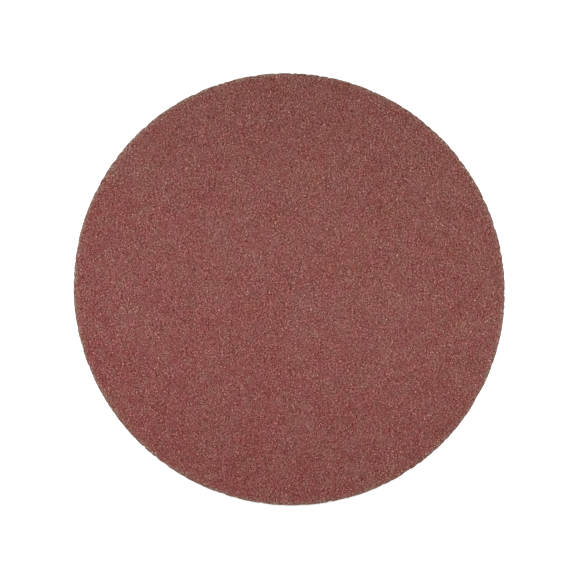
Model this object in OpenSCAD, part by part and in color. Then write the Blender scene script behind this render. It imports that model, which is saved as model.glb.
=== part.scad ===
// Round sanding disc with a hook and loop backing, lying abrasive side up.
// Three webs are laminated face to face and cut with one die: a loop fabric at the bottom,
// a backing paper, and the abrasive coat, which is a resin bond with a bed of grains in it.
// The origin is the centre of the loop face, and +Z points out of the abrasive face.

/* [Disc] */
// Nominal diameter, the size of the pad that the disc fits
disc_d = 125; // [75:1:225]

/* [Abrasive coat] */
// Thickness of the resin bond on the paper
bond_t = 0.12; // [0.05:0.01:0.3]
// Height that the bed of grains stands out of the bond (0.2 goes with grit P60)
grain_stand = 0.2; // [0.05:0.01:0.6]
// Depth of the deepest nick, where the die broke grains out of the cut edge
nick_depth = 0.3; // [0.05:0.01:0.6]
// Distance along the cut edge from one broken grain to the next
nick_pitch = 0.45; // [0.3:0.01:2]
// Setting that picks another run of nicks
nick_seed = 60; // [1:1:999]

/* [Backing paper] */
// Thickness of the paper
paper_t = 0.35; // [0.1:0.01:0.8]
// How far the paper and the bond are cut inside the outermost grains
paper_setback = 0.25; // [0:0.01:1]

/* [Loop fabric] */
// Thickness of the knitted ground, which is glued to the paper
ground_t = 0.25; // [0.1:0.01:0.6]
// Height that the loops stand off the ground
pile_h = 0.6; // [0.45:0.01:2]
// Spacing of the wales, the rows of loops, at 24 needles to the inch
wale_pitch = 1.058; // [0.95:0.001:2.5]
// Width of one row of loops
wale_w = 0.76; // [0.5:0.01:0.85]
// Width of the flat that the loop tips rest on
tip_flat = 0.3; // [0.1:0.01:0.45]
// How far the fabric is drawn in from the paper's edge
fabric_setback = 0.1; // [0:0.01:1]

/* [Hidden] */

paper_r = disc_d / 2 - paper_setback;
fabric_r = paper_r - fabric_setback;

paper_z = pile_h + ground_t;
coat_z = paper_z + paper_t;

// A row of loops is half round, and cut flat at its tips
crown_r = wale_w / 2;
crown_z = sqrt(crown_r * crown_r - tip_flat * tip_flat / 4);
// Whole rows of loops on each side of the middle one
wales_a_side = floor((fabric_r - crown_r) / wale_pitch);

// Few nicks are deep, because most of the grains on the edge are cut and not torn out
nick_rarity = 4;
nick_count = floor(PI * disc_d / nick_pitch);
nicks = rands(0, 1, nick_count, nick_seed);

round_fn = 180;
crown_fn = 48;

function rim_point(i) =
    let (
        turn = 360 * i / nick_count,
        reach = disc_d / 2 - nick_depth * pow(nicks[i], nick_rarity)
    )
    [reach * cos(turn), reach * sin(turn)];

// Cross section of one row of loops, with the tips at the bottom
module wale_section() {
    translate([0, crown_z])
        circle(r = crown_r, $fn = crown_fn);
    translate([-crown_r, crown_z])
        square([wale_w, pile_h - crown_z + ground_t / 2]);
}

// Knitted fabric: a flat ground above, and the rows of standing loops below it
module loop_fabric() {
    color("oldlace")
        intersection() {
            rotate([90, 0, 0])
                linear_extrude(height = disc_d, center = true)
                    union() {
                        for (i = [-wales_a_side:wales_a_side])
                            translate([i * wale_pitch, 0])
                                wale_section();
                        translate([-disc_d / 2, pile_h])
                            square([disc_d, ground_t]);
                    }
            cylinder(h = pile_h + ground_t, r = fabric_r, $fn = round_fn);
        }
}

module backing_paper() {
    color("peru")
        translate([0, 0, paper_z])
            cylinder(h = paper_t, r = paper_r, $fn = round_fn);
}

// Resin bond cut with the paper, and the bed of grains that breaks away unevenly at its edge
module abrasive_coat() {
    color("#89544E")
        translate([0, 0, coat_z]) {
            cylinder(h = bond_t, r = paper_r, $fn = round_fn);
            translate([0, 0, bond_t])
                linear_extrude(height = grain_stand)
                    polygon([for (i = [0:nick_count - 1]) rim_point(i)]);
        }
}

loop_fabric();
backing_paper();
abrasive_coat();
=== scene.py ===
# %% [markdown]
# A sanding disc with a hook and loop back, lying abrasive side up.
# The real disc is three webs in one: a bed of mineral grains set in resin, a heavy paper that
# carries them, and a knitted loop fabric that grips the hooks of a sander's pad.
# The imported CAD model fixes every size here. This script dresses it: it replaces the flat coat
# by single grains standing in resin, and the ribbed fabric solid by a knit with standing loops.
# Everything is in metres, and the origin is the centre of the disc at the tips of its loops.

# %% Load the frame
import math

import bpy
import numpy as np
from mathutils import Matrix, Vector


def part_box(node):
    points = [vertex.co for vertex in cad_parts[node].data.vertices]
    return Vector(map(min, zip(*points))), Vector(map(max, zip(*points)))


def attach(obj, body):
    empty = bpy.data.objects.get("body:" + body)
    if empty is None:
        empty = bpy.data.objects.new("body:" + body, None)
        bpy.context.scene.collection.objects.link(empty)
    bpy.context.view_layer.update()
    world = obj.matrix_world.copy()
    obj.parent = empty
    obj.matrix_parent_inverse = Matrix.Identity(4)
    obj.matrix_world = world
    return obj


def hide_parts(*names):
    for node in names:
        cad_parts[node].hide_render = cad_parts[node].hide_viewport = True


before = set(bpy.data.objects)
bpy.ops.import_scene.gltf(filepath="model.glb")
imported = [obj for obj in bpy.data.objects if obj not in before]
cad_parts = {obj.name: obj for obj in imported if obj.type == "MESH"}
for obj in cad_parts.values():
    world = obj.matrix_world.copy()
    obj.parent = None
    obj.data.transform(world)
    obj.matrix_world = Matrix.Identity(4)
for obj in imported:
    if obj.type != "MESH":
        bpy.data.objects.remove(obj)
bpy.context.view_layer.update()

MM = 0.001

coat_low, coat_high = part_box("abrasive_coat")
fabric_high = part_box("loop_fabric")[1]

COAT_BASE = coat_low.z
COAT_TOP = coat_high.z
PAPER_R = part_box("backing_paper")[1].x
FABRIC_R = fabric_high.x
FABRIC_TOP = fabric_high.z
print("coat from", round(COAT_BASE / MM, 3), "to", round(COAT_TOP / MM, 3), "mm above the floor")
print("paper radius", round(PAPER_R / MM, 2), "mm, fabric radius", round(FABRIC_R / MM, 2), "mm")

# %% [markdown]
# The cut edge comes first, because the resin and the grains both end at it.
# A die cuts the disc out of a wide web. It shears most grains through, and tears a few out whole,
# so the edge is a circle with small nicks. The CAD coat holds that outline as a many-sided polygon.
# Its corners are read back as a reach for each direction, and any other direction lies between two.

# %% Read the nicked outline from the coat
SAME_LEVEL = 0.001 * MM


def points_of(mesh):
    """The vertices of a mesh as an array with one row for each."""
    flat = np.empty(len(mesh.vertices) * 3, np.float32)
    mesh.vertices.foreach_get("co", flat)
    return flat.reshape(-1, 3).astype(float)


coat_points = points_of(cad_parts["abrasive_coat"].data)
on_top = coat_points[coat_points[:, 2] > COAT_TOP - SAME_LEVEL]
turn_on_top = np.round(np.arctan2(on_top[:, 1], on_top[:, 0]), 5)
rim_turn, first = np.unique(turn_on_top, return_index=True)
rim_reach = np.hypot(on_top[first, 0], on_top[first, 1])


def rim_at(turn):
    """Reach of the cut edge in a direction: its corners' reach, and in proportion between two."""
    return np.interp(turn, rim_turn, rim_reach, period=2 * math.pi)


deepest_nick = np.ptp(rim_reach)
print(len(rim_turn), "corners on the cut edge, deepest nick", round(deepest_nick / MM, 3), "mm")

# %% [markdown]
# Every new piece is a mesh made from arrays: one row for each point, one row for each triangle.
# foreach_set copies a whole array into the mesh at once, which matters with nearly a million
# triangles. Each piece also gets a flat map, as seen from above, so that an exporter can paint its
# colours without unfolding thousands of grains.

# %% Helpers that put arrays into meshes
EXPORT_MAP = "OFBake"


def put_mesh(name, points, triangles, smooth=False):
    """Make an object from an array of points and an array of triangles."""
    mesh = bpy.data.meshes.new(name)
    mesh.vertices.add(len(points))
    mesh.vertices.foreach_set("co", np.ascontiguousarray(points, np.float32).ravel())
    corners = np.ascontiguousarray(triangles, np.int32).ravel()
    mesh.loops.add(len(corners))
    mesh.loops.foreach_set("vertex_index", corners)
    mesh.polygons.add(len(triangles))
    mesh.polygons.foreach_set("loop_start", np.arange(0, len(corners), 3, dtype=np.int32))
    mesh.polygons.foreach_set("use_smooth", np.full(len(triangles), smooth))
    mesh.update(calc_edges=True)
    mesh.validate()
    piece = bpy.data.objects.new(name, mesh)
    bpy.context.scene.collection.objects.link(piece)
    print(name, len(points), "points,", len(triangles), "triangles")
    return piece


def flat_map(piece, reach):
    """Lay the export map on a piece: x and y over a square as wide as twice the reach."""
    mesh = piece.data
    corners = np.empty(len(mesh.loops), np.int32)
    mesh.loops.foreach_get("vertex_index", corners)
    across = points_of(mesh)[corners, :2] / (2 * reach) + 0.5
    layer = mesh.uv_layers.new(name=EXPORT_MAP)
    layer.data.foreach_set("uv", across.astype(np.float32).ravel())


def put_values(piece, name, values):
    """Store one number for each point of a piece, for a material to read."""
    layer = piece.data.attributes.new(name=name, type="FLOAT", domain="POINT")
    layer.data.foreach_set("value", np.ascontiguousarray(values, np.float32))


def halves(quads):
    """Split each four-cornered face into two triangles along its first diagonal."""
    return np.concatenate([quads[:, [0, 1, 2]], quads[:, [0, 2, 3]]])


# %% [markdown]
# The resin bond is a hard skin, thin and wavy, that the grains stand in.
# A fan of triangles from the centre would pinch there. Instead a square grid is bent into a disc:
# its cells stay about equal, and its border has four times as many points as it has cells a side.
# With an eighth of the edge's corners as cells a side, each border point meets every second corner,
# which is close enough for a skin that the grains cover.

# %% Bend a square grid into a disc
def disc_grid(cells):
    """Points of a square grid, bent into a disc of radius 1.

    A point (a, b) of the square goes to a radius of a or b, whichever is larger without its sign.
    Its angle from that axis is an eighth of a turn times the smaller over the larger.
    """
    side = np.linspace(-1, 1, cells + 1)
    a, b = np.meshgrid(side, side)
    sideways = np.abs(a) > np.abs(b)
    reach = np.where(sideways, a, b)
    share = np.where(sideways, b, a) / np.where(reach == 0, 1, reach)
    turn = np.where(sideways, share * math.pi / 4, math.pi / 2 - share * math.pi / 4)
    return (reach * np.cos(turn)).ravel(), (reach * np.sin(turn)).ravel()


def grid_faces(cells):
    """Two triangles for each cell of a square grid, facing up."""
    corner = (np.arange(cells)[:, None] * (cells + 1) + np.arange(cells)).ravel()
    across, along = corner + 1, corner + cells + 1
    return halves(np.stack([corner, across, along + 1, along], axis=1))


def border(cells):
    """The border points of a square grid in order, anticlockwise from its first corner."""
    step, wide = np.arange(cells), cells + 1
    return np.concatenate(
        [step, step * wide + cells, cells * wide + cells - step, (cells - step) * wide]
    )


def wall(above, below):
    """Two triangles for each step between two rings of points, facing out."""
    return halves(np.stack([above, below, np.roll(below, -1), np.roll(above, -1)], axis=1))


# %% Make the resin bond
RESIN_TOP = COAT_TOP - 0.17 * MM
RESIN_WAVE = 0.02 * MM
RESIN_LIP = COAT_BASE + 0.1 * MM
RESIN_FOOT = COAT_BASE + 0.06 * MM

chance = np.random.default_rng(60)


def resin_bond():
    """A closed skin: the bent grid on top, three rings down the cut edge, and a flat base.

    The grid is stretched in each direction to the reach of the cut edge. Its height is the resin's
    level plus a random wave.
    """
    cells = len(rim_turn) // 8
    x, y = disc_grid(cells)
    reach = rim_at(np.arctan2(y, x))
    wave = RESIN_WAVE * chance.standard_normal(len(x))
    top = np.stack([x * reach, y * reach, RESIN_TOP + wave], axis=1)
    edge = border(cells)
    outward = np.stack([x[edge], y[edge]], axis=1)
    rings, faces, above = [], [grid_faces(cells)], edge
    lip_reach = rim_at(np.arctan2(y[edge], x[edge]))
    levels = ((lip_reach, RESIN_LIP), (PAPER_R, RESIN_FOOT), (PAPER_R, COAT_BASE))
    for index, (ring_reach, level) in enumerate(levels):
        flat = outward * np.reshape(ring_reach, (-1, 1))
        rings.append(np.column_stack([flat, np.full(len(edge), level)]))
        below = len(top) + index * len(edge) + np.arange(len(edge))
        faces.append(wall(above, below))
        above = below
    centre = len(top) + len(levels) * len(edge)
    faces.append(np.stack([np.full(len(edge), centre), np.roll(above, -1), above], axis=1))
    points = np.concatenate([top, *rings, [[0, 0, COAT_BASE]]])
    return put_mesh("resin_bond", points, np.concatenate(faces), smooth=True)


resin = resin_bond()

# %% [markdown]
# Now the grains. Fused alumina breaks into blocky splinters with sharp corners, about 0.27 mm
# through in this grit. An electric field stands them in the wet resin, nine to a square millimetre.
# Each one here is a closed solid of its own, an irregular crystal with four, six or eight facets.
# All grains of one kind are worked out in one array: a start shape, stretched, dented and turned
# at random, then set down so that its top is near the level that all the tips share. They are sown
# a little way past the cut edge, and what stands out there is sheared off, as the die does it.

# %% Shapes that a grain starts from
EIGHT_SIDED = (
    np.array([[1, 0, 0], [-1, 0, 0], [0, 1, 0], [0, -1, 0], [0, 0, 1], [0, 0, -1]], float),
    np.array(
        [[0, 2, 4], [2, 1, 4], [1, 3, 4], [3, 0, 4], [2, 0, 5], [1, 2, 5], [3, 1, 5], [0, 3, 5]]
    ),
)
THIRDS = 2 * math.pi * np.arange(3) / 3
GIRDLE = np.stack([np.cos(THIRDS), np.sin(THIRDS), 0 * THIRDS], axis=1)
SIX_SIDED = (
    np.concatenate([GIRDLE, [[0, 0, 1], [0, 0, -1]]]),
    np.array([[0, 1, 3], [1, 2, 3], [2, 0, 3], [1, 0, 4], [2, 1, 4], [0, 2, 4]]),
)
FOUR_SIDED = (
    np.array([[1, 1, 1], [1, -1, -1], [-1, 1, -1], [-1, -1, 1]]) / math.sqrt(3),
    np.array([[0, 1, 2], [0, 3, 1], [0, 2, 3], [1, 3, 2]]),
)

# %% Where the grains stand, and their tone: how bare, with painted shade and glint
GRAIN_GAP = 0.365 * MM
GRAIN_SCATTER = 0.42
GRAIN_PAST_EDGE = 0.12 * MM
BARE_AND_GLINT_SHAPE = (0.58, 2.5)
# Painted shade: the grains round a pale tip are darkened by this share.
PAINTED_SHADE_PULL = 0.8
SELF_AND_NEXT = ((0, 0), (1, 0), (-1, 0), (0, 1), (0, -1))


def tip_tones_with_painted_shade(rows, columns):
    """Each tip's tone, from 0, drowned in resin, to 1, bare, with painted shade and painted glint.

    Most tips are drowned and a few are bare, as a beta curve has it. The spread is in part painted
    shade and painted glint for the light on each grain's facets. Each tip then loses a share of the
    average of itself and the four next to it, which paints shade round a pale tip.
    """
    bare_and_glint = chance.beta(*BARE_AND_GLINT_SHAPE, (rows, columns))
    around = sum(np.roll(bare_and_glint, step, (0, 1)) for step in SELF_AND_NEXT) / len(SELF_AND_NEXT)
    return np.clip(bare_and_glint - PAINTED_SHADE_PULL * (around - bare_and_glint.mean()), 0, 1)


def sow_grains():
    """Centres on a grid of equal triangles, each moved at random by up to a share of the gap.

    Each row holds a centre's x and y, and its tone: how bare its tip is, with painted shade and
    glint. The rows are shuffled, so that any run of them lies all over the disc.
    """
    row_gap = GRAIN_GAP * math.sqrt(3) / 2
    reach = rim_reach.max() + GRAIN_GAP
    rows = np.arange(-math.ceil(reach / row_gap), math.ceil(reach / row_gap) + 1)
    columns = np.arange(-math.ceil(reach / GRAIN_GAP), math.ceil(reach / GRAIN_GAP) + 1)
    column, row = np.meshgrid(columns, rows)
    x = (column + 0.5 * (row % 2)) * GRAIN_GAP
    y = row * row_gap
    places = np.stack([x.ravel(), y.ravel()], axis=1)
    places += GRAIN_GAP * GRAIN_SCATTER * chance.uniform(-1, 1, places.shape)
    turn = np.arctan2(places[:, 1], places[:, 0])
    inside = np.hypot(places[:, 0], places[:, 1]) < rim_at(turn) + GRAIN_PAST_EDGE
    sown = np.column_stack([places, tip_tones_with_painted_shade(*row.shape).ravel()])
    return chance.permutation(sown[inside])


sown = sow_grains()
square_mm = math.pi * (PAPER_R / MM) ** 2
print(len(sown), "grains,", round(len(sown) / square_mm, 1), "to a square mm")
# The share printed is the grain tone: bareness, with painted shade and painted glint.
print("bare share of a tip:", round(sown[:, 2].mean(), 3), "on average")

# %% Grow the grains from their start shapes
GRAIN_TIP_SPREAD = 0.035 * MM
GRAIN_STRETCH = (0.78, 1.3)
GRAIN_DENT = 0.16
GRAIN_FOOT = COAT_BASE + 0.01 * MM
BLOCKY, SPLINTERED = 24_500, 33_000
BLOCKY_REACH, SPLINTERED_REACH, SHARP_REACH = 0.2 * MM, 0.22 * MM, 0.27 * MM


def random_turns(count):
    """Turns in every direction alike: quaternions of four normal numbers, made 1 long, as matrices."""
    four = chance.standard_normal((4, count))
    w, x, y, z = four / np.linalg.norm(four, axis=0)
    rows = [
        [1 - 2 * (y * y + z * z), 2 * (x * y - w * z), 2 * (x * z + w * y)],
        [2 * (x * y + w * z), 1 - 2 * (x * x + z * z), 2 * (y * z - w * x)],
        [2 * (x * z - w * y), 2 * (y * z + w * x), 1 - 2 * (x * x + y * y)],
    ]
    return np.moveaxis(np.array(rows), 2, 0)


def grow_grains(name, sown, shape, reach):
    """One closed crystal at each place that was sown.

    A crystal is its start shape times three random lengths, plus a random dent at each corner, and
    then turned. Its top is put at the level of the tips, and what would stand out past the cut edge
    or down into the paper is sheared off flat there.
    """
    corners, sides = shape
    count = len(sown)
    lengths = reach * chance.uniform(*GRAIN_STRETCH, (count, 1, 3))
    dents = reach * GRAIN_DENT * chance.standard_normal((count, len(corners), 3))
    grains = np.einsum("nij,nkj->nki", random_turns(count), corners * lengths + dents)
    tips = COAT_TOP + GRAIN_TIP_SPREAD * chance.standard_normal(count)
    grains[:, :, 2] += (tips - grains[:, :, 2].max(axis=1))[:, None]
    grains[:, :, :2] += sown[:, None, :2]
    points = grains.reshape(-1, 3)
    points[:, 2] = np.maximum(points[:, 2], GRAIN_FOOT)
    distance = np.hypot(points[:, 0], points[:, 1])
    rim = rim_at(np.arctan2(points[:, 1], points[:, 0]))
    points[:, :2] *= np.minimum(1, rim / distance)[:, None]
    faces = (sides[None] + len(corners) * np.arange(count)[:, None, None]).reshape(-1, 3)
    piece = put_mesh(name, points, faces)
    # The tone stored on each grain: how bare it is, with painted shade and painted glint.
    put_values(piece, "bare_and_glint", np.repeat(sown[:, 2], len(corners)))
    put_values(piece, "gloss", np.repeat(chance.uniform(0, 1, count), len(corners)))
    return piece


blocky, splintered, sharp = np.split(sown, [BLOCKY, BLOCKY + SPLINTERED])
grains = [
    grow_grains("blocky_grains", blocky, EIGHT_SIDED, BLOCKY_REACH),
    grow_grains("splintered_grains", splintered, SIX_SIDED, SPLINTERED_REACH),
    grow_grains("sharp_grains", sharp, FOUR_SIDED, SHARP_REACH),
]

# %% [markdown]
# The fabric is a warp knit. Its stitches run in rows, the wales, at 24 to the inch, and from each
# row stand loops of fine yarn that the hooks catch. The knitted ground is a closed sheet: flat where
# it is glued to the paper, and with a low rib under each row. All ribs run along Y, so each one is
# straight, and a cross section with both ends trimmed to the circle is all that the sheet needs.

# %% Knit the ground
WALE_GAP = 25.4 * MM / 24
GROUND_BACK = 0.62 * MM
RIB_RISE = 0.2 * MM
RIB_FULLNESS = 0.7
POINTS_A_RIB = 8
POINTS_ROUND_EDGE = 181
INSIDE_EDGE = 0.99999


def ground_level(x):
    """Height of the ground's lower face: a level sheet less a rib.

    The rib is the top half of a cosine wave, to a power below 1, which makes it fuller.
    """
    wave = np.cos(2 * math.pi * x / WALE_GAP)
    return GROUND_BACK - RIB_RISE * np.maximum(0, wave) ** RIB_FULLNESS


def knit_ground():
    """Slices across the disc, each with a front and a back end, a lower and an upper point.

    The slices stand close together along X, and closest at both sides, where the edge turns away.
    """
    even = np.arange(-FABRIC_R, FABRIC_R, WALE_GAP / POINTS_A_RIB)
    round_the_edge = FABRIC_R * np.cos(np.linspace(0, math.pi, POINTS_ROUND_EDGE))
    x = np.unique(np.round(np.concatenate([even, round_the_edge]), 7))
    x = x[np.abs(x) < FABRIC_R * INSIDE_EDGE]
    half = np.sqrt(FABRIC_R**2 - x**2)
    low, high = ground_level(x), np.full(len(x), FABRIC_TOP)
    ring = [(x, -half, low), (x, half, low), (x, half, high), (x, -half, high)]
    points = np.stack([np.stack(corner, axis=1) for corner in ring], axis=1).reshape(-1, 3)
    start = 4 * np.arange(len(x) - 1)
    faces = []
    for k in range(4):
        this, turned = start + k, start + (k + 1) % 4
        faces.append(halves(np.stack([this, turned, turned + 4, this + 4], axis=1)))
    last = len(points) - 4
    ends = np.array([[0, 3, 2], [0, 2, 1], [last, last + 1, last + 2], [last, last + 2, last + 3]])
    return put_mesh("knit_ground", points, np.concatenate([*faces, ends]))


ground = knit_ground()

# %% [markdown]
# A loop is a short arch of yarn with both feet in the ground and its crown down at the plane that
# the disc lies on. Real loops lean and twist after the brushing, so each gets its own width, height,
# lean and turn. The yarn is a three-sided tube along five points of the arch: with over thirteen
# thousand loops, three sides are enough, and smooth shading rounds them.

# %% Stand the loops in rows
LOOP_GAP = 0.85 * MM
LOOP_SCATTER = (0.05 * MM, 0.09 * MM)
LOOP_INSET = 0.35 * MM
LOOP_WIDTH = 0.62 * MM
YARN_R = 0.062 * MM
ARCH = np.linspace(0, 1, 5)

LOOP_TURN = 0.5
WIDTH_SHARE = (0.75, 1.15)
DROP_SHARE = (0.86, 1.0)
LEAN_SHARE = 0.22
LOOP_BULGE = 0.35
CROWN_FULLNESS = 0.8
OUTWARD_SHARE = 1.6


def loop_places():
    """Feet of the loops: every loop gap along each row, with every other row half a gap on."""
    rows = np.arange(-math.floor(FABRIC_R / WALE_GAP), math.floor(FABRIC_R / WALE_GAP) + 1)
    steps = np.arange(-math.floor(FABRIC_R / LOOP_GAP), math.floor(FABRIC_R / LOOP_GAP) + 1)
    row, step = np.meshgrid(rows, steps)
    x = row * WALE_GAP + chance.normal(0, LOOP_SCATTER[0], row.shape)
    y = (step + 0.5 * (row % 2)) * LOOP_GAP + chance.normal(0, LOOP_SCATTER[1], row.shape)
    inside = np.hypot(x, y) < FABRIC_R - LOOP_INSET
    return np.stack([x[inside], y[inside]], axis=1)


def stand_loops(name, feet):
    """A closed tube along an arch at each place.

    Along the arch, the yarn moves sideways as a cosine of half a turn, which bulges past its feet,
    and down as a sine. The lean adds a sideways shift that grows with the height. Three points lie
    round the yarn at each step, spread along the normal of the arch's plane and its outward
    direction.
    """
    count = len(feet)
    angle = chance.normal(0, LOOP_TURN, (count, 1))
    width = LOOP_WIDTH * chance.uniform(*WIDTH_SHARE, (count, 1))
    drop = chance.uniform(*DROP_SHARE, (count, 1)) * (GROUND_BACK - YARN_R)
    lean = chance.normal(0, LEAN_SHARE, (count, 1)) * GROUND_BACK
    swing = -np.cos(math.pi * ARCH) * (1 + LOOP_BULGE * np.sin(math.pi * ARCH)) / 2
    sink = np.sin(math.pi * ARCH) ** CROWN_FULLNESS
    side = width * swing
    slant = lean * sink
    level = GROUND_BACK - drop * sink
    along = np.stack([np.cos(angle), np.sin(angle), 0 * angle], axis=2)
    normal = np.stack([-np.sin(angle), np.cos(angle), 0 * angle], axis=2)
    up = np.array([0.0, 0.0, 1.0])
    path = feet_in_space(feet) + along * side[..., None] + normal * slant[..., None]
    path = path + up * level[..., None]
    outward = along * swing[:, None] * OUTWARD_SHARE - up * sink[:, None]
    outward = outward / np.linalg.norm(outward, axis=2, keepdims=True)
    normal_part = normal[:, :, None] * np.cos(THIRDS)[:, None]
    outward_part = outward[:, :, None] * np.sin(THIRDS)[:, None]
    points = (path[:, :, None] + YARN_R * (normal_part + outward_part)).reshape(-1, 3)
    points[:, 2] = np.maximum(points[:, 2], 0)
    points = inside_circle(points, FABRIC_R)
    piece = put_mesh(name, points, loop_faces(count), smooth=True)
    put_values(piece, "shade", np.repeat(chance.uniform(0, 1, count), 3 * len(ARCH)))
    return piece


def feet_in_space(feet):
    """The feet's places with a height of nought, one row for each loop and one point in each."""
    return np.column_stack([feet, np.zeros(len(feet))])[:, None, :]


def inside_circle(points, reach):
    """Points past a reach are drawn in to it, as a blade trims yarn along the cut edge."""
    distance = np.hypot(points[:, 0], points[:, 1])
    points[:, :2] *= np.minimum(1, reach / np.maximum(distance, 1e-9))[:, None]
    return points


def loop_faces(count):
    """Triangles of all the tubes: two for each side of each step, and one to close each end."""
    step = 3 * np.arange(len(ARCH) - 1)[:, None]
    side = np.arange(3)
    turned = (side + 1) % 3
    quads = np.stack([step + side, step + turned, step + 3 + turned, step + 3 + side], axis=2)
    last = 3 * (len(ARCH) - 1)
    one = np.concatenate([halves(quads.reshape(-1, 4)), [[0, 2, 1], [last, last + 1, last + 2]]])
    return (one[None] + 3 * len(ARCH) * np.arange(count)[:, None, None]).reshape(-1, 3)


feet = loop_places()
left = feet[:, 0] < 0
loops = [stand_loops("loops_left", feet[left]), stand_loops("loops_right", feet[~left])]

# %% [markdown]
# A small helper keeps each material short: it adds one node, sets its plain values and plugs in its
# inputs. Every pattern reads Object coordinates in metres, or the number stored on each grain.

# %% Helpers for materials
def new_finish(name):
    """A material with only its output, and the node tree to fill."""
    finish = bpy.data.materials.new(name)
    finish.use_nodes = True
    tree = finish.node_tree
    tree.nodes.clear()
    return finish, tree


def add(tree, kind, settings=(), **inputs):
    """Add a node, with plain settings and with inputs that are values or outputs of other nodes.

    An input is given by its name, with _ for a space, or by an i and its number.
    """
    node = tree.nodes.new(kind)
    for name, value in dict(settings).items():
        setattr(node, name, value)
    for name, value in inputs.items():
        socket = node.inputs[int(name[1:]) if name[1:].isdigit() else name.replace("_", " ")]
        if isinstance(value, bpy.types.NodeSocket):
            tree.links.new(value, socket)
        else:
            socket.default_value = value
    return node


def object_place(tree):
    """Place on the piece, in metres."""
    return add(tree, "ShaderNodeTexCoord").outputs["Object"]


def maths(tree, operation, first, second):
    """Two numbers joined by an operation of the Math node."""
    return add(tree, "ShaderNodeMath", {"operation": operation}, i0=first, i1=second).outputs[0]


def stretched(tree, value, low, high):
    """A number from 0 to 1, moved to lie between low and high."""
    return add(tree, "ShaderNodeMapRange", i0=value, i3=low, i4=high).outputs[0]


def scaled(tree, colour, factor):
    """A colour with each part multiplied by one number."""
    scale = {"operation": "SCALE"}
    return add(tree, "ShaderNodeVectorMath", scale, i0=colour, Scale=factor).outputs[0]


def blended(tree, share, first, second):
    """The first colour at a share of 0, and the second at 1."""
    node = add(tree, "ShaderNodeMix", {"data_type": "RGBA"}, i0=share, i6=first, i7=second)
    return node.outputs[2]


def close_finish(tree, **shader):
    """Put a Principled shader with these inputs at the end of the tree."""
    surface = add(tree, "ShaderNodeBsdfPrincipled", **shader)
    add(tree, "ShaderNodeOutputMaterial", Surface=surface.outputs[0])


def dress(pieces, finish):
    """Give pieces one finish, in place of what they had."""
    for piece in pieces:
        piece.data.materials.clear()
        piece.data.materials.append(finish)
    print(finish.name, "on", ", ".join(piece.name for piece in pieces))


# %% [markdown]
# The grains and the resin share one red-brown, because the resin's last coat covers the grains too.
# Four things break it up. A grain whose tip stands clear of the resin is a paler pink, and one that
# the resin drowned is a deep red, so each grain has its own place between the two. That spread is in
# part painted shade, and its pale end in part painted glint, for the light on each grain's facets.
# Faint clouds, up to two centimetres across, are ruddier or paler. Over a few millimetres the coat
# also drifts a little: it is redder or more olive, and apart from that it is warmer or cooler. Both
# drifts lean slowly across the whole disc: it is redder at the bottom, cooler at the upper left and
# more olive at the top. And close to the cut edge, mostly in its last millimetre, the die crushed
# grain and resin to dust. That pale dust is in part painted light, lifting the less lit rim.

# %% Finish of the abrasive face
# Deep red to pale pink: partly the grains' own tone, partly painted shade and painted glint.
DEEP_RED = (0.128, 0.004, 0.001, 1)
PALE_PINK_GLINT = (0.899, 0.490, 0.423, 1)
CLOUD_SIZE = 20 * MM
CLOUD_DETAIL = 4.0
CLOUD_SHARE = 0.016
RUDDY_CLOUD, PALE_CLOUD = (1.0, 0.895, 0.905, 1), (1.0, 1.105, 1.095, 1)
REDNESS_SIZE = 2.2 * MM
WARMTH_SIZE = 4 * MM
REDDER, MORE_OLIVE = (1.060, 0.943, 1.0, 1), (0.940, 1.057, 1.0, 1)
WARMER, COOLER = (1.0, 1.032, 0.949, 1), (1.0, 0.968, 1.051, 1)
REDNESS_SWING = (0.1, 0.9)
WARMTH_SWING = (0, 1)
# Both drifts lean across the disc: redder at the bottom, cooler at the upper left, more olive at the
# top.
REDNESS_LEAN = (0.060, 0.34, 0)
WARMTH_LEAN = (-0.12, 0.15, 0)
# Dust at the cut edge; its pale end is in part painted light, lifting the less lit rim.
DARK_DUST = (0.235, 0.132, 0.096, 1)
PALE_DUST_AND_LIGHT = (1.000, 0.910, 0.760, 1)
DUST_AND_LIGHT_BAND = 2.2 * MM
DUST_STEEPNESS = 2.5
DUST_PATCH = 0.8 * MM
DUST_PATCHINESS = (0.1, 1.4)
NOISE_REACH = (0.3, 0.7)


def tinted(tree, colour, tint):
    """A colour, or a place, with each part multiplied by the same part of another."""
    multiply = {"operation": "MULTIPLY"}
    return add(tree, "ShaderNodeVectorMath", multiply, i0=colour, i1=tint).outputs[0]


def spread_noise(tree, place, size, **shape):
    """A noise with patches of a size. It stays near a half, so it is stretched over 0 to 1."""
    noise = add(tree, "ShaderNodeTexNoise", Vector=place, Scale=1 / size, **shape).outputs[0]
    low, high = NOISE_REACH
    return add(tree, "ShaderNodeMapRange", i0=noise, i1=low, i2=high).outputs[0]


def hue_drift(tree, place, size, swing, lean, first, second):
    """A tint that wanders between two with a noise, and leans to the second along a direction.

    The swing is the two shares that the noise runs between. The lean's length is the share that it
    adds from the disc's centre to its edge.
    """
    slope = tuple(part / rim_reach.max() for part in lean)
    along = {"operation": "DOT_PRODUCT"}
    leaning = add(tree, "ShaderNodeVectorMath", along, i0=place, i1=slope).outputs["Value"]
    wander = stretched(tree, spread_noise(tree, place, size, Detail=1.0), *swing)
    share = maths(tree, "ADD", wander, leaning)
    return blended(tree, share, first, second)


def dust_and_painted_light_share(tree, place):
    """The way across the band to a power, times a noise, because the dust lies in patches. The
    band is in part painted light, which lifts the last millimetre of the coat.
    """
    flat = tinted(tree, place, (1, 1, 0))
    away = add(tree, "ShaderNodeVectorMath", {"operation": "LENGTH"}, i0=flat).outputs["Value"]
    rim = rim_reach.max()
    across = add(tree, "ShaderNodeMapRange", i0=away, i1=rim - DUST_AND_LIGHT_BAND, i2=rim).outputs[0]
    thick = maths(tree, "POWER", across, DUST_STEEPNESS)
    patches = spread_noise(tree, place, DUST_PATCH, Detail=1.0)
    return maths(tree, "MULTIPLY", thick, stretched(tree, patches, *DUST_PATCHINESS))


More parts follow.
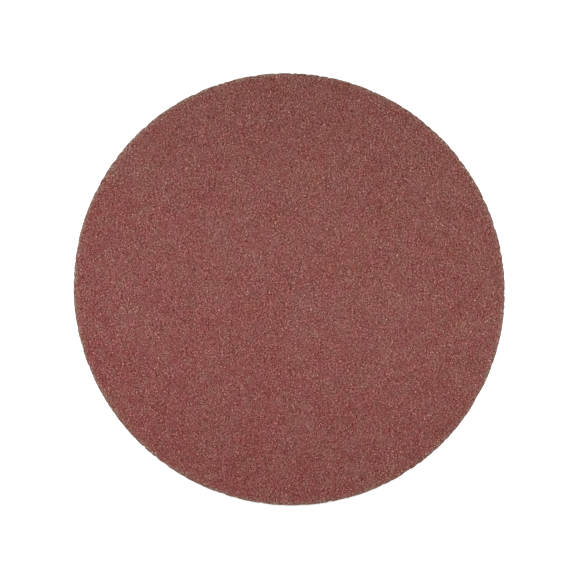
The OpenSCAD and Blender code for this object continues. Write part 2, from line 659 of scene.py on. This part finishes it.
def coat_colour(tree, bare_and_glint):
    """Deep red to pale pink by the grain's tone, times the clouds and two drifts, under dust.

    The tone is how bare the grain is, with painted shade and painted glint. The clouds have patches
    of several sizes, all as strong. They shift the tone a grain shows, and tint its green and blue.
    The dust is a film, dark on a drowned grain and pale on a bare one, and in part painted light.
    """
    place = object_place(tree)
    clouds = spread_noise(tree, place, CLOUD_SIZE, Detail=CLOUD_DETAIL, Roughness=1.0)
    share = maths(tree, "ADD", bare_and_glint, stretched(tree, clouds, -CLOUD_SHARE, CLOUD_SHARE))
    tone = blended(tree, share, DEEP_RED, PALE_PINK_GLINT)
    tone = tinted(tree, tone, blended(tree, clouds, RUDDY_CLOUD, PALE_CLOUD))
    redness = hue_drift(tree, place, REDNESS_SIZE, REDNESS_SWING, REDNESS_LEAN, REDDER, MORE_OLIVE)
    warmth = hue_drift(tree, place, WARMTH_SIZE, WARMTH_SWING, WARMTH_LEAN, WARMER, COOLER)
    tone = tinted(tree, tinted(tree, tone, redness), warmth)
    # Dust near the edge, in part painted light.
    return blended(tree, dust_and_painted_light_share(tree, place), tone, blended(tree, share, DARK_DUST, PALE_DUST_AND_LIGHT))


# %% [markdown]
# The grains and the resin get a material each, because they shine differently. A grain reads the two
# numbers stored on it. The resin lies in the hollows between them, where it climbs a little up each
# grain, so its bump rises towards the borders of cells that are about as far apart as the grains.

# %% Finishes of the grains and the resin
GRAIN_ROUGHNESS = (0.5, 0.8)
GRAIN_SPECULAR = 0.35
SPECK_SIZE = 0.3 * MM
# The resin's tone stays at the dark end: partly small grains, partly painted shade in the hollows.
PAINTED_SHADE_SPECK_SHARE = (0.0, 0.3)
MENISCUS_SIZE = 0.35 * MM
MENISCUS_RISE = 0.06 * MM
RESIN_SHINE = {"Roughness": 0.5, "Specular_IOR_Level": 0.12}


def stored(tree, name):
    """The number that was stored on each point under a name."""
    return add(tree, "ShaderNodeAttribute", {"attribute_name": name}).outputs["Fac"]


def cell_pattern(tree, place, size):
    """The outputs of a Voronoi pattern, whose cells are of a size."""
    return add(tree, "ShaderNodeTexVoronoi", Vector=place, Scale=1 / size).outputs


def grain_finish():
    """Matt, with a gloss that differs from grain to grain."""
    finish, tree = new_finish("resin_covered_grain")
    roughness = stretched(tree, stored(tree, "gloss"), *GRAIN_ROUGHNESS)
    colour = coat_colour(tree, stored(tree, "bare_and_glint"))
    close_finish(tree, Base_Color=colour, Roughness=roughness, Specular_IOR_Level=GRAIN_SPECULAR)
    return finish


def resin_finish():
    """The same colour in the hollows, held at its dark end as painted shade, and speckled by
    grains too small to stand out.
    """
    finish, tree = new_finish("cured_resin")
    place = object_place(tree)
    specks = add(tree, "ShaderNodeSeparateColor", i0=cell_pattern(tree, place, SPECK_SIZE)["Color"])
    colour = coat_colour(tree, stretched(tree, specks.outputs[0], *PAINTED_SHADE_SPECK_SHARE))
    menisci = cell_pattern(tree, place, MENISCUS_SIZE)["Distance"]
    bump = add(tree, "ShaderNodeBump", Strength=0.8, Distance=MENISCUS_RISE, Height=menisci)
    close_finish(tree, Base_Color=colour, Normal=bump.outputs[0], **RESIN_SHINE)
    return finish


grain_look, resin_look = grain_finish(), resin_finish()
dress(grains, grain_look)
dress([resin], resin_look)

# %% [markdown]
# Only the cut edge of the paper shows, a dark brown line a third of a millimetre high.
# Heavy paper is pressed from several plies, so the edge has faint level streaks, and short fibres
# stand across it. A noise that is squeezed along Z gives the plies, and a fine one gives the fibres.

# %% Finish of the paper
DARK_PAPER = (0.20, 0.13, 0.075, 1)
LIGHT_PAPER = (0.50, 0.37, 0.25, 1)
PLIES_A_METRE = (400, 400, 14000)
FIBRES_A_METRE = 9000
FIBRE_SHADE = (0.7, 1.3)
FIBRE_RISE = 0.03 * MM


def paper_finish():
    """Brown paper, streaked in plies along Z and mottled by fibres."""
    finish, tree = new_finish("brown_paper")
    place = object_place(tree)
    layers = add(tree, "ShaderNodeMapping", Vector=place, Scale=PLIES_A_METRE).outputs[0]
    plies = add(tree, "ShaderNodeTexNoise", Vector=layers, Scale=1.0, Detail=3.0).outputs[0]
    fibres = add(tree, "ShaderNodeTexNoise", Vector=place, Scale=FIBRES_A_METRE, Detail=2.0).outputs[0]
    colour = blended(tree, plies, DARK_PAPER, LIGHT_PAPER)
    colour = scaled(tree, colour, stretched(tree, fibres, *FIBRE_SHADE))
    bump = add(tree, "ShaderNodeBump", Strength=0.6, Distance=FIBRE_RISE, Height=fibres)
    close_finish(tree, Base_Color=colour, Roughness=0.9, Normal=bump.outputs[0])
    return finish


dress([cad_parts["backing_paper"]], paper_finish())

# %% [markdown]
# The loop yarn is undyed nylon, an off-white with a soft sheen. The knitted ground under it is the
# same yarn pulled tight: stitches show as small slanted bars along each rib, so one slanted wave
# makes both the bump and a painted shade, a darker grey, in the gaps between stitches.

# %% Finish of the loop fabric
OFF_WHITE = (0.74, 0.71, 0.64, 1)
# Painted shade in the gaps between stitches.
GAP_SHADE_GREY = (0.42, 0.39, 0.33, 1)
YARN_SHADE = (0.86, 1.12)
YARN_SHEEN = 0.25
STITCH_LENGTH = 0.42 * MM
STITCH_SLANT = 0.5
STITCH_RISE = 0.08 * MM
WAVE_LENGTH_AT_1 = 0.314


def yarn_finish():
    """Nylon yarn, a little lighter or darker from loop to loop."""
    finish, tree = new_finish("loop_yarn")
    rgb = add(tree, "ShaderNodeRGB")
    rgb.outputs[0].default_value = OFF_WHITE
    colour = scaled(tree, rgb.outputs[0], stretched(tree, stored(tree, "shade"), *YARN_SHADE))
    close_finish(tree, Base_Color=colour, Roughness=0.55, Sheen_Weight=YARN_SHEEN)
    return finish


def knit_finish():
    """Stitches as slanted bars: a wave along the turned Y axis, a little distorted.

    At a scale of 1, a band wave repeats at 0.314, a tenth of pi, so the scale follows from the length.
    """
    finish, tree = new_finish("knitted_ground")
    place = object_place(tree)
    slanted = add(tree, "ShaderNodeMapping", Vector=place, Rotation=(0, 0, STITCH_SLANT)).outputs[0]
    wave = {"wave_type": "BANDS", "bands_direction": "Y"}
    shape = {"Scale": WAVE_LENGTH_AT_1 / STITCH_LENGTH, "Distortion": 1.2, "Detail": 1.0}
    bars = add(tree, "ShaderNodeTexWave", wave, Vector=slanted, **shape).outputs["Fac"]
    # Darker grey gaps between the stitches: painted shade.
    colour = blended(tree, bars, GAP_SHADE_GREY, OFF_WHITE)
    rise = add(tree, "ShaderNodeBump", Strength=0.8, Distance=STITCH_RISE, Height=bars).outputs[0]
    close_finish(tree, Base_Color=colour, Roughness=0.75, Normal=rise, Sheen_Weight=YARN_SHEEN)
    return finish


dress(loops, yarn_finish())
dress([ground], knit_finish())

# %% [markdown]
# Each piece is tied to the frame: it rides on the one body and gets the flat export map, and the
# CAD parts that the pieces stand in for, the coat and the fabric, are hidden. The fabric is a cut
# sheet of cloth laid flat.

# %% Tie the pieces to the frame
MAP_MARGIN = 1 * MM

for piece in [resin, *grains, ground, *loops]:
    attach(piece, "root")
    flat_map(piece, rim_reach.max() + MAP_MARGIN)

for piece in [resin, *grains]:
    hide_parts("abrasive_coat")

for piece in [ground, *loops]:
    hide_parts("loop_fabric")

# %% [markdown]
# The floor is a pale sheet with a hole under the disc, a little smaller than the fabric. The disc
# covers the hole, so nothing shows from above, and from below the loops can be seen and lit.
# To the camera the floor is white, and it still darkens where the disc keeps light from it.

# %% Lay the floor
FLOOR_REACH = 3.0
HOLE_R = FABRIC_R - 0.2 * MM
HOLE_SIDES = 180
FLOOR_GREY = (0.85, 0.85, 0.85, 1)
GLOW_FROM, GLOW_TO = 90 * MM, 300 * MM
GLOW = (0.7, 1.0)


def floor_sheet():
    """A flat ring: a circle of points at the hole, another far out, and faces between them."""
    turn = 2 * math.pi * np.arange(HOLE_SIDES) / HOLE_SIDES
    round_it = np.stack([np.cos(turn), np.sin(turn), 0 * turn], axis=1)
    inner = np.arange(HOLE_SIDES)
    points = np.concatenate([HOLE_R * round_it, FLOOR_REACH * round_it])
    outer = inner + HOLE_SIDES
    faces = halves(np.stack([inner, outer, np.roll(outer, -1), np.roll(inner, -1)], axis=1))
    return put_mesh("floor", points, faces)


def white_to(tree):
    """1 for a ray from the camera, or from a gloss or a clear piece, and 0 for any other."""
    rays = add(tree, "ShaderNodeLightPath").outputs
    seen = maths(tree, "MAXIMUM", rays["Is Camera Ray"], rays["Is Glossy Ray"])
    return maths(tree, "MAXIMUM", seen, rays["Is Transmission Ray"])


def floor_finish():
    """White to the camera, with the shadow kept near the disc.

    A glow is added to what the lamps give. It is weaker near the disc, where the floor is well lit.
    """
    finish, tree = new_finish("pale_floor")
    length = {"operation": "LENGTH"}
    away = add(tree, "ShaderNodeVectorMath", length, i0=object_place(tree)).outputs["Value"]
    low, high = GLOW
    glow = add(tree, "ShaderNodeMapRange", i0=away, i1=GLOW_FROM, i2=GLOW_TO, i3=low, i4=high)
    strength = maths(tree, "MULTIPLY", white_to(tree), glow.outputs[0])
    matt = add(tree, "ShaderNodeBsdfDiffuse", Color=FLOOR_GREY)
    light = add(tree, "ShaderNodeEmission", Strength=strength)
    both = add(tree, "ShaderNodeAddShader", i0=matt.outputs[0], i1=light.outputs[0])
    add(tree, "ShaderNodeOutputMaterial", Surface=both.outputs[0])
    return finish


floor = floor_sheet()
dress([floor], floor_finish())

# %% [markdown]
# The photograph's light falls off towards the top and the bottom of the disc but hardly from side to
# side. One long strip lamp over the middle does that, running from left to right and set to the left,
# and a plain white world fills the shadows. Together they light a level surface so that its colour
# renders about as it is written. A second lamp lies below the hole, for a look at the loops.

# %% Light it
STRIP_LENGTH = 700 * MM
STRIP_WIDTH = 60 * MM
STRIP_PLACE = (-130 * MM, 4 * MM, 170 * MM)
STRIP_WATTS = 0.676
UNDER_SIZE = 100 * MM
UNDER_PLACE = (0, 0, -200 * MM)
UNDER_WATTS = 0.36
WORLD_STRENGTH = 0.25


def lamp(name, place, size, watts, facing_up=False):
    """A soft lamp of a length and a width at a place, facing straight down or straight up."""
    light = bpy.data.lights.new(name, "AREA")
    light.shape = "RECTANGLE"
    light.size, light.size_y = size
    light.energy = watts
    holder = bpy.data.objects.new(name, light)
    holder.location = place
    holder.rotation_euler = (math.pi if facing_up else 0, 0, 0)
    bpy.context.scene.collection.objects.link(holder)
    print(name, watts, "W")


lamp("strip_lamp", STRIP_PLACE, (STRIP_LENGTH, STRIP_WIDTH), STRIP_WATTS)
lamp("lamp_below", UNDER_PLACE, (UNDER_SIZE, UNDER_SIZE), UNDER_WATTS, facing_up=True)

world = bpy.data.worlds.new("studio")
world.use_nodes = True
bpy.context.scene.world = world
world.node_tree.nodes.clear()
sky_tree = world.node_tree
strength = stretched(sky_tree, white_to(sky_tree), WORLD_STRENGTH, 1.0)
sky = add(sky_tree, "ShaderNodeBackground", Color=(1, 1, 1, 1), Strength=strength)
add(sky_tree, "ShaderNodeOutputWorld", Surface=sky.outputs[0])
bpy.context.scene.view_settings.view_transform = "Standard"

# %% [markdown]
# The photograph looks down on the disc, but not quite square: the disc is 1.3 percent narrower along
# one slanting line. That is how a circle looks from 9.2 degrees off its axis, along that line.
# A long lens keeps the picture flat. The camera's distance follows from the disc's longest radius in
# pixels, and a small sideways move puts the disc's centre at its own place in the picture.

# %% Set the camera
PICTURE_PX = 579
CENTRE_PX = (291.09, 287.71)
RADIUS_PX = 217.25
TILT = math.radians(9.2)
TILT_TURN = math.radians(220.9)
LENS_MM = 200
SENSOR_MM = 36

mean_reach = rim_reach.mean()
metres_a_pixel = mean_reach / RADIUS_PX
distance = PICTURE_PX * metres_a_pixel * LENS_MM / SENSOR_MM

off_axis = math.sin(TILT)
back = Vector((off_axis * math.cos(TILT_TURN), off_axis * math.sin(TILT_TURN), math.cos(TILT)))
right = Vector((0, 1, 0)).cross(back).normalized()
up = back.cross(right)
aside = right * (PICTURE_PX / 2 - CENTRE_PX[0]) * metres_a_pixel
raised = up * (CENTRE_PX[1] - PICTURE_PX / 2) * metres_a_pixel

camera = bpy.data.objects.new("camera", bpy.data.cameras.new("camera"))
camera.data.lens = LENS_MM
camera.data.sensor_width = SENSOR_MM
place = Matrix.Translation(Vector((0, 0, COAT_TOP)) + back * distance + aside + raised)
camera.matrix_world = place @ Matrix((right, up, back)).transposed().to_4x4()
bpy.context.scene.collection.objects.link(camera)
bpy.context.scene.camera = camera
mm_a_pixel = metres_a_pixel / MM
print("camera", round(distance, 3), "m from the grain,", round(mm_a_pixel, 4), "mm a pixel")
